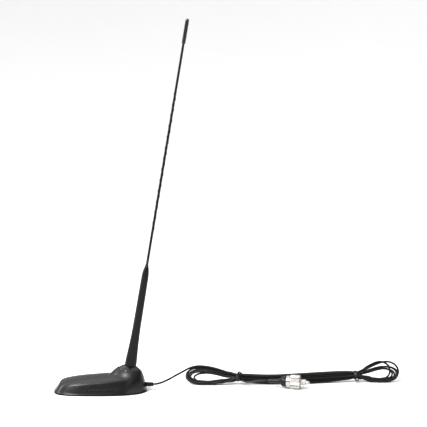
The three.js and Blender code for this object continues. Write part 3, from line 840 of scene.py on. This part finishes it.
RIBS = 15
RIB_FROM, RIB_TO = -20, 24  # along the base
RIB_SLANT = 2.2
RIB_SHARES = (0.984, 0.942)  # lower and upper end on the side wall
RIB_WIDTH = 1.1
RIB_PROUD = 0.45
RIB_SUNK = 0.15  # how deep a rib's foot is let in, as a share of its height
RIB_STATIONS = 9  # sections along a rib
AHEAD, HIGHER = 0.5, 0.005  # small steps in x and in share that find the wall's slope


def wall_point(x, share, side):
    """The point of the side wall at x, on the side of positive or negative y."""
    fullness = NOSE_FULLNESS if x < 0 else TAIL_FULLNESS
    c = np.sign(x) * (abs(x) / (share * BASE_HALF[0])) ** (fullness / 2)
    angle = side * math.acos(c)
    px, py = outline(np.array(angle), share)
    return Vector((float(px), float(py), float(shell_height(px, py, share))))


def side_ribs():
    """Two rows of slanted grip ribs on the side walls."""
    points, faces = [], []
    section = [(-0.5, -0.4), (-0.5, 0.35), (-0.3, 0.85), (0, 1), (0.3, 0.85), (0.5, 0.35), (0.5, -0.4)]
    for side in (-1, 1):
        for i in range(RIBS):
            x = RIB_FROM + (RIB_TO - RIB_FROM) * i / (RIBS - 1)
            rings = []
            for t in np.linspace(0, 1, RIB_STATIONS).tolist():
                share = RIB_SHARES[0] + (RIB_SHARES[1] - RIB_SHARES[0]) * t
                at = x + RIB_SLANT * (t - 0.5)
                here = wall_point(at, share, side)
                ahead = (wall_point(at + AHEAD, share, side) - here).normalized()
                upward = (wall_point(at, share - HIGHER, side) - here).normalized()
                out = ahead.cross(upward) * -side
                end = min(1, 6 * min(t, 1 - t) + 0.35)  # rounded off at both ends
                wide, proud = ahead * RIB_WIDTH, out * RIB_PROUD
                rings.append([here + wide * a * end + proud * (b * end - RIB_SUNK) for a, b in section])
            more, skinned = skin(rings)
            faces += [tuple(n + len(points) for n in face) for face in skinned]
            points += more
    place(crisp(mesh_piece("side_ribs", points, faces)), "base", "shell_plastic")


# The pad's rim, rounded below and above: how far in and how high.
PAD_RIM = ((0.9, 0), (0.35, 0.08), (0.08, 0.3), (0, 0.6), (0, 1.35), (0.12, 1.65), (0.45, 1.8))


def base_pad():
    angles = np.linspace(0, 2 * math.pi, OUTLINE_SIDES, endpoint=False)
    rings = []
    for inset, z in PAD_RIM:
        x, y = outline(angles, 1, inset)
        rings.append(np.column_stack([x, y, np.full(OUTLINE_SIDES, z)]))
    pad = mesh_piece("rubber_pad", *skin(rings))
    place(crisp(pad), "base", "pad_rubber", "base_pad")


# -------- mast root, mast and whip


def helix(pitch, depth, low, high):
    """A radius rule that cuts a rounded V thread between two heights."""

    def radius_at(radius, height, angle):
        if not low <= height <= high:
            return radius
        phase = (height / pitch - angle / (2 * math.pi)) % 1
        fade = min(1, 2 * (height - low), 2 * (high - height))
        return radius - depth * fade * (0.5 + 0.5 * math.cos(2 * math.pi * phase))

    return radius_at


def heights(low, high, step):
    return np.linspace(low, high, int(round(abs(high - low) / step)) + 1)


STUD_PITCH = 1.0
STUD_RADIUS = 2.9
STUD_THREAD = (-1.3, 7.8)


def mast_root():
    collar = [
        (4.3, -6.2), (15.1, -6.2, 0.2), (15.1, -5, 0.5), (13.4, -3.2, 2), (11, -1.6, 2), (8.6, -0.3, 0.4),
        (7.4, -0.3, 0.2), (7.4, -1.4), (4.3, -1.4), (4.3, -6.2),
    ]
    cone = turned("cone_collar", fillet(collar, 0.2, 4), MAST, 128)
    place(crisp(cone), "base", "collar_plastic", "mast_collar")

    washer = [(3.4, -1.1), (7.1, -1.1), (7.1, -0.1), (3.4, -0.1), (3.4, -1.1)]
    disc = turned("foot_washer", fillet(washer, 0.3, 4), MAST, 96)
    place(crisp(disc), "washer", "pad_rubber", "root_washer")

    r = STUD_RADIUS
    below = [(0, -18), (2.4, -18), (r, -17.4), (r, -6.3), (4, -6.2), (4, -1.4), (r, -1.4)]
    threaded = [(r, z) for z in heights(*STUD_THREAD, STUD_PITCH / 8)]
    thread = helix(STUD_PITCH, 0.45, *STUD_THREAD)
    stud = turned("threaded_stud", below + threaded + [(2.3, 8.4), (0, 8.4)], MAST, 64, thread)
    place(crisp(stud, math.radians(50)), "base", "brass", "mast_stud")


CORE_RADIUS = 1.05
CAP_FOOT = 421


def mast_body():
    outside = [
        (7.5, 0.2, 0.3), (7.65, 2, 1), (7.55, 6, 2), (7, 14, 3), (6.1, 27.7, 5), (5.3, 46, 8), (5, 74, 12),
        (4.75, 101.5, 10), (4.55, 117, 3), (4.3, 122.5, 2), (3.7, 126.5, 1.5), (2.95, 130, 0.5),
        (2.7, 131, 0.2),
    ]
    inside = [(1.9, 131), (1.9, 109.5), (2.9, 109.5), (2.9, 12.3), (4.4, 12.3), (4.4, 0.2)]
    profile = fillet([(4.4, 0.2), *outside, *inside], 0.1, 5)
    place(crisp(turned("mast_tube", profile, MAST, 96)), "mast", "mast_plastic", "mast_housing")

    ferrule = [
        (CORE_RADIUS, 131.3), (2.6, 131.3, 0.15), (2.15, 133.1, 1), (1.7, 135.7, 0.8), (1.7, 136.9, 0.2),
        (1.95, 137.4, 0.2), (1.95, 138.6, 0.2), (1.7, 139, 0.15), (CORE_RADIUS, 139), (CORE_RADIUS, 131.3),
    ]
    collet = turned("whip_collet", fillet(ferrule, 0.12), MAST, 64)
    place(crisp(collet), "mast", "dark_nickel", "whip_ferrule")

    cap = [
        (1.8, CAP_FOOT), (2.15, CAP_FOOT, 0.2), (2.4, 423.5, 1), (2.45, 448, 2), (2.3, 450.8, 1),
        (1.7, 452.3, 0.6), (0, 453),
    ]
    inner = [(0, 448), (1.8, 448), (1.8, CAP_FOOT)]
    tip = closed_cap("whip_tip", fillet(cap + inner, 0.1, 4), MAST, 64)
    place(crisp(tip), "mast", "collar_plastic", "tip_cap")


def closed_cap(name, profile, at, sides):
    """A turned cup that is closed at its top.

    Its profile runs from the rim up the outside to the axis, and from the axis down the inside to the rim.
    """
    turn = next(i for i, row in enumerate(profile) if row[0] == 0)
    outside, inside = profile[:turn], profile[turn + 2 : -1]
    angles = [2 * math.pi * i / sides for i in range(sides)]
    rings = [[(r * math.cos(a), r * math.sin(a), z) for a in angles] for r, z in inside + outside]
    points, faces = skin(rings, tips=((0, 0, profile[turn + 1][1]), (0, 0, profile[turn][1])))
    piece = mesh_piece(name, points, faces)
    piece.data.transform(at)
    return piece


JACKET_FOOT, JACKET_TOP = 139.3, 446
JACKET_RADIUS = 1.65
JACKET_TAPER = 0.15  # how much thinner it is where it enters the cap
RIB_LOW, RIB_HIGH, RIB_PITCH = 172, 362, 14
RIB_HEIGHT = 0.4
RIB_FADE = 6  # over this length the rib rises from nothing


def whip_jacket():
    """The whip's jacket, with one helical rib over its middle stretch."""

    def radius_at(radius, height, angle):
        if radius == CORE_RADIUS or not RIB_LOW <= height <= RIB_HIGH:
            return radius
        fade = min(1, (height - RIB_LOW) / RIB_FADE, (RIB_HIGH - height) / RIB_FADE)
        facing = max(0, math.cos(angle - 2 * math.pi * height / RIB_PITCH))
        return radius + RIB_HEIGHT * fade * facing**6

    def tapered(z):
        return JACKET_RADIUS - JACKET_TAPER * (z - JACKET_FOOT) / (CAP_FOOT - JACKET_FOOT)

    stations = [139.4, 150, 171, *heights(RIB_LOW, RIB_HIGH, 0.7), 380, 400, CAP_FOOT, JACKET_TOP]
    outside = [(max(JACKET_RADIUS - JACKET_TAPER, tapered(z)), z) for z in stations]
    bore = [(CORE_RADIUS, JACKET_TOP), (CORE_RADIUS, JACKET_FOOT)]
    profile = [bore[1], (1.6, JACKET_FOOT), *outside, *bore]
    sleeve = crisp(turned("whip_sleeve", profile, MAST, 32, radius_at), math.radians(60))
    place(sleeve, "mast", "whip_plastic", "whip_jacket")


# -------- strain relief and plug


def strain_relief():
    profile = [
        (1.6, 52.2), (3.9, 52.2), (3.9, 53.5), (3, 53.5), (3, 60.4, 0.2), (2.6, 60.8, 0.2), (2.6, 61.6, 0.2),
        (2.95, 62, 0.2), (2.9, 62.9, 0.2), (2.5, 63.3, 0.2), (2.5, 64.1, 0.2), (2.85, 64.5, 0.2),
        (2.8, 65.4, 0.2), (2.4, 65.7, 0.2), (2.4, 66.2, 0.2), (2.7, 66.5, 0.2), (2.6, 67.7, 0.4),
        (2.3, 68.3, 0.15), (1.6, 68.3), (1.6, 52.2),
    ]
    piece = turned("relief_sleeve", fillet(profile, 0.15), GLAND, 64)
    return place(crisp(piece), "base", "pad_rubber", "strain_relief")


def knurl(count, depth, low, high, inner=0.0):
    """A radius rule that cuts straight flutes between two heights, on radii above inner."""

    def radius_at(radius, height, angle):
        if radius < inner or not low <= height <= high:
            return radius
        return radius - depth * (0.5 + 0.5 * math.cos(count * angle)) ** 1.5

    return radius_at


RING_PITCH = 1.058  # 24 threads to the inch
RING_THREAD = (-6.2, 8.4)


def coupling_ring():
    """Polished rear step, fluted grip and threaded bore."""
    flutes = knurl(count=64, depth=0.3, low=-3.1, high=8.1, inner=9)
    thread = helix(RING_PITCH, -0.35, *RING_THREAD)

    def radius_at(radius, height, angle):
        if radius > 9:
            return flutes(radius, height, angle)
        return thread(radius, height, angle) if radius < 7.5 else radius

    outside = [
        (6.45, -9), (7.5, -9, 0.25), (7.9, -8.6, 0.25), (7.9, -4.4, 0.2), (8.7, -4, 0.2), (9.15, -3.5, 0.2),
        (9.15, -3.1, 0.05), (9.15, 8.1, 0.05), (9.15, 8.4, 0.2), (8.7, 9, 0.3), (7.7, 9, 0.2),
        (7.52, 8.6, 0.05),
    ]
    bore = [(7.45, z) for z in heights(*RING_THREAD[::-1], 0.132)]
    bore += [(7.55, -6.4), (6.45, -6.4), (6.45, -9)]
    profile = fillet(outside, 0.2)[:-1] + bore
    piece = turned("knurled_ring", profile, PLUG, 256, radius_at)
    return place(crisp(piece), "ring", "nickel", "coupling_ring")


def plug_pieces():
    """The pieces of the plug that the cord carries, without its coupling ring."""
    boot = [
        (0, -34.3), (1.9, -34.3, 0.5), (2.4, -32, 1), (3.2, -20.5, 2), (4.2, -17.4, 1), (6.5, -14.8, 1),
        (6.9, -13, 1), (6.9, -9.4, 0.2), (6.4, -9.4, 0.2), (6.4, -12.3), (4.7, -12.3), (4.7, -14.5),
        (0, -14.5),
    ]

    def shrunk(radius, height, angle):
        return radius + 0.05 * math.sin(1.7 * height) * math.cos(2 * angle) * min(radius / 3, 1)

    rows = fillet(boot, 0.3, 5)
    fine = [rows[0]]
    for (r0, z0), (r1, z1) in zip(rows, rows[1:]):
        count = max(1, int(abs(z1 - z0) / 0.8))
        fine += [(r0 + (r1 - r0) * k / count, z0 + (z1 - z0) * k / count) for k in range(1, count + 1)]
    sleeve = turned("boot_sleeve", fine, PLUG, 48, shrunk)
    sleeve = place(crisp(sleeve), "base", "cable_jacket", "plug_boot")

    reducer = [(0, -14.2), (4.4, -14.2, 0.3), (4.4, -12.3, 0.3), (3, -12.3), (3, -5), (0, -5)]
    grip = knurl(32, 0.25, -13.9, -12.6, 4.2)
    reducer = turned("cable_reducer", fillet(reducer, 0.1), PLUG, 128, grip)
    reducer = place(crisp(reducer), "base", "nickel", "plug_reducer")

    body = [
        (3.3, -12), (6.1, -12, 0.4), (6.1, -11.5, 0.05), (6.1, -6.4, 0.05), (6.1, -6), (7.1, -6), (7.1, -4),
        (5.6, -3.4), (5.6, 9.5, 0.25), (4, 9.5, 0.2), (4, -3.6), (3.3, -3.6), (3.3, -12),
    ]
    body = turned("plug_shell", fillet(body, 0.15), PLUG, 192, knurl(48, 0.25, -11.5, -6.4, 6))
    body = place(crisp(body), "base", "nickel", "plug_body")

    insulator = [
        (1.5, -3.3), (3.7, -3.3), (3.7, 16.5, 0.5), (2.9, 16.5, 0.2), (2.6, 16.1, 0.3), (1.5, 16.1),
        (1.5, -3.3),
    ]
    insulator = turned("pin_insulator", fillet(insulator, 0.1, 4), PLUG, 64)
    insulator = place(crisp(insulator), "base", "pale_insulator", "plug_insulator")

    pin = [
        (0, -2), (1.2, -2), (1.2, 16.8), (2, 16.8, 0.3), (2, 19.6, 0.5), (1.7, 20.9, 0.4),
        (1.35, 21.1, 0.1), (1.2, 21.3, 0.2), (0, 21.5),
    ]
    pin = turned("centre_pin", fillet(pin, 0.1, 4), PLUG, 48)
    pin = place(crisp(pin), "base", "nickel", "plug_pin")
    return [sleeve, reducer, body, insulator, pin]


# -------- twist ties

TIE_SECTION = [
    (-1.2, -0.12), (-1.2, 0.12), (-0.55, 0.2), (-0.3, 0.42), (0, 0.5), (0.3, 0.42), (0.55, 0.2), (1.2, 0.12),
    (1.2, -0.12), (0.55, -0.2), (0, -0.3), (-0.55, -0.2),
]
WRAP_HALF = 1.3  # half the width over which a tie's turns spread
WRAP_CLEARANCE = (0.35, 0.15)  # off the strands, and how much more by the end
TAIL_CLEARANCE = 0.9
TAIL_STEP = 0.4
TAIL_APART = 0.55  # half the distance between the two twisted ends
TAIL_WIDTH = 0.8  # width of a twisted end against the band
TAIL_TIP = 0.75  # size of its tips against the rest


def strip(rows):
    """Skin of a flat wire tie along rows of (centre, width direction, thickness direction)."""
    rings = [[centre + side * a + out * b for a, b in TIE_SECTION] for centre, side, out in rows]
    return skin(rings)


def tie_band(tie, start, turns=2):
    rows = []
    count = 60 * turns
    for i in range(count + 1):
        t = i / count
        angle = start + 2 * math.pi * turns * t
        (y, z), out = hull_point(tie, angle, WRAP_CLEARANCE[0] + WRAP_CLEARANCE[1] * t)
        x = tie - WRAP_HALF + 2 * WRAP_HALF * t
        rows.append((Vector((x, y, z)), Vector((1, 0, 0)), Vector((0, *out))))
    return strip(rows)


def tie_tails(route, pitch=4.5):
    """Two ends of the tie twisted about a short route."""
    line = along(route, TAIL_STEP)
    made = []
    for phase in (0, math.pi):
        rows = []
        for i in range(1, len(line) - 1):
            forward = Vector(line[i + 1] - line[i - 1]).normalized()
            right = forward.cross(UP).normalized()
            up = right.cross(forward)
            angle = phase + 2 * math.pi * TAIL_STEP * i / pitch
            out = right * math.cos(angle) + up * math.sin(angle)
            side = forward.cross(out)
            shrink = TAIL_TIP if i in (1, len(line) - 2) else 1
            rows.append((Vector(line[i]) + out * TAIL_APART, side * TAIL_WIDTH * shrink, out * shrink))
        made.append(strip(rows))
    return made


def twist_tie(name, tie, start, tail):
    points, faces = [], []
    y, z = hull_point(tie, start, TAIL_CLEARANCE)[0]
    route = [(tie + dx, y + dy, z + dz) for dx, dy, dz in tail]
    for more, skinned in [tie_band(tie, start), *tie_tails(route)]:
        faces += [tuple(n + len(points) for n in face) for face in skinned]
        points += more
    wound = mesh_piece(name.replace("twist", "wire"), points, faces)
    return place(crisp(wound, math.radians(50)), "base", "tie_plastic", name)


# -------- assembly

base_shell()
side_ribs()
base_pad()
mast_root()
mast_body()
whip_jacket()

left_tail = [(0, 0, 0), (0.2, -0.6, 1.6), (1.2, -1.6, 2.6), (3, -3, 2.2), (4.6, -4.6, 0.6), (5.4, -5.8, -1.4)]
right_tail = [(0, 0, 0), (-0.2, -1.4, -0.6), (0.4, -3, -1), (1.6, -4.4, -1), (3, -5.6, -0.6), (4, -7, -0.2)]
on_cord = [
    strain_relief(),
    twist_tie("twist_tie_left", TIES[0], math.radians(118), left_tail),
    twist_tie("twist_tie_right", TIES[1], math.radians(215), right_tail),
    *plug_pieces(),
    coupling_ring(),
]
place(cable, "base", "cable_jacket", "cable_lead", "cable_hank", "cable_tail")

# Inner nodes that keep their CAD shape.
KEPT = {
    "inner_plastic": ["bottom_tray"],
    "steel": [*(f"tray_screw_{i}" for i in (1, 2, 3, 4)), "yoke_plate", "whip_core"],
    "ferrite": ["magnet_front", "magnet_rear"],
    "board_laminate": ["match_board"],
    "copper_wire": ["matching_coil", "feed_wire", "loading_coil"],
    "ceramic": ["match_capacitor"],
    "cable_jacket": ["coax_end"],
    "pale_insulator": ["stud_insulator"],
    "brass": ["solder_tag", "stud_nut", "mast_ferrule", "whip_socket"],
    "fibreglass": ["coil_former"],
}
for slot, nodes in KEPT.items():
    for node in nodes:
        for holder in frame["nodes"][node].material_slots:
            holder.material = MATERIALS[slot]


# -------- floor and light

FLOOR_REACH = 8.0  # metres
FLOOR_LIP = 1.0
FLOOR_FLAT = 6  # metres from the middle to where the rim starts
FLOOR_SIDES = 96


def floor():
    """A wide pale disc whose rim curves up, so that it fills the view at any angle."""
    rings = []
    angles = np.linspace(0, 2 * math.pi, FLOOR_SIDES, endpoint=False)
    for reach in [0.5, 1, 2, 4, FLOOR_FLAT, *np.linspace(FLOOR_FLAT + 0.5, FLOOR_REACH, 12)]:
        rise = FLOOR_LIP * max(0, (reach - FLOOR_FLAT) / (FLOOR_REACH - FLOOR_FLAT)) ** 2
        ring = [reach * np.cos(angles), reach * np.sin(angles), np.full(FLOOR_SIDES, rise)]
        rings.append(np.column_stack(ring) / MM)
    points, faces = skin(rings, caps=(True, False))
    made = mesh_piece("floor", points, faces)
    surface = Surface("pale_floor", {"Specular IOR Level": 0.2})
    surface.colour(surface.mixed(surface.noise(400, 3), grey(0.84), grey(0.86)))
    surface.roughness(surface.span(surface.noise(30, 3), 0.7, 0.8))
    made.data.materials.append(surface.material)


# Strength of the light from a direction, by its height and then by how far it points to the right.
TENT_HEIGHT = {"From Min": 0.2, "From Max": 0.8, "To Min": 0.2, "To Max": 1.5}
TENT_SIDE = {"From Min": -0.9, "From Max": 0.9, "To Min": 1.5, "To Max": 0.35}

# Lamps: place and aim in metres, width and height in metres, and watts.
LAMPS = {
    "key": ((-0.9, -1.3, 1.5), (0.1, 0, 0.05), (1.0, 0.8), 34),
    "side": ((-1.6, 0.3, 0.9), (0, 0, 0.1), (0.5, 0.9), 10),
    "top": ((-0.6, -0.66, 1.3), (0.03, 0, 0.03), (0.34, 0.34), 16),
}
EXPOSURE = 0.12


def area_light(name, at, aim, size, power):
    data = bpy.data.lights.new(name, "AREA")
    data.shape = "RECTANGLE"
    data.size, data.size_y = size
    data.energy = power
    lamp = bpy.data.objects.new(name, data)
    bpy.context.scene.collection.objects.link(lamp)
    lamp.location = at
    lamp.rotation_euler = (Vector(aim) - Vector(at)).to_track_quat("-Z", "Y").to_euler()


def studio():
    """Light from above that fades towards the horizon and to the right, as in a tent, and three lamps."""
    world = bpy.data.worlds.new("tent")
    bpy.context.scene.world = world
    world.use_nodes = True
    tree = world.node_tree
    background = tree.nodes["Background"]
    background.inputs["Color"].default_value = grey(1.0)
    direction = tree.nodes.new("ShaderNodeTexCoord").outputs["Generated"]
    parts = tree.nodes.new("ShaderNodeSeparateXYZ")
    tree.links.new(direction, parts.inputs[0])
    fade = tree.nodes.new("ShaderNodeMapRange")
    fade.interpolation_type = "SMOOTHSTEP"
    for socket, value in TENT_HEIGHT.items():
        fade.inputs[socket].default_value = value
    tree.links.new(parts.outputs["Z"], fade.inputs["Value"])
    aside = tree.nodes.new("ShaderNodeMapRange")
    for socket, value in TENT_SIDE.items():
        aside.inputs[socket].default_value = value
    tree.links.new(parts.outputs["X"], aside.inputs["Value"])
    both = tree.nodes.new("ShaderNodeMath")
    both.operation = "MULTIPLY"
    tree.links.new(fade.outputs["Result"], both.inputs[0])
    tree.links.new(aside.outputs["Result"], both.inputs[1])
    tree.links.new(both.outputs[0], background.inputs["Strength"])
    for name, settings in LAMPS.items():
        area_light(name, *settings)


floor()
studio()
bpy.context.scene.view_settings.view_transform = "Standard"
bpy.context.scene.view_settings.exposure = EXPOSURE
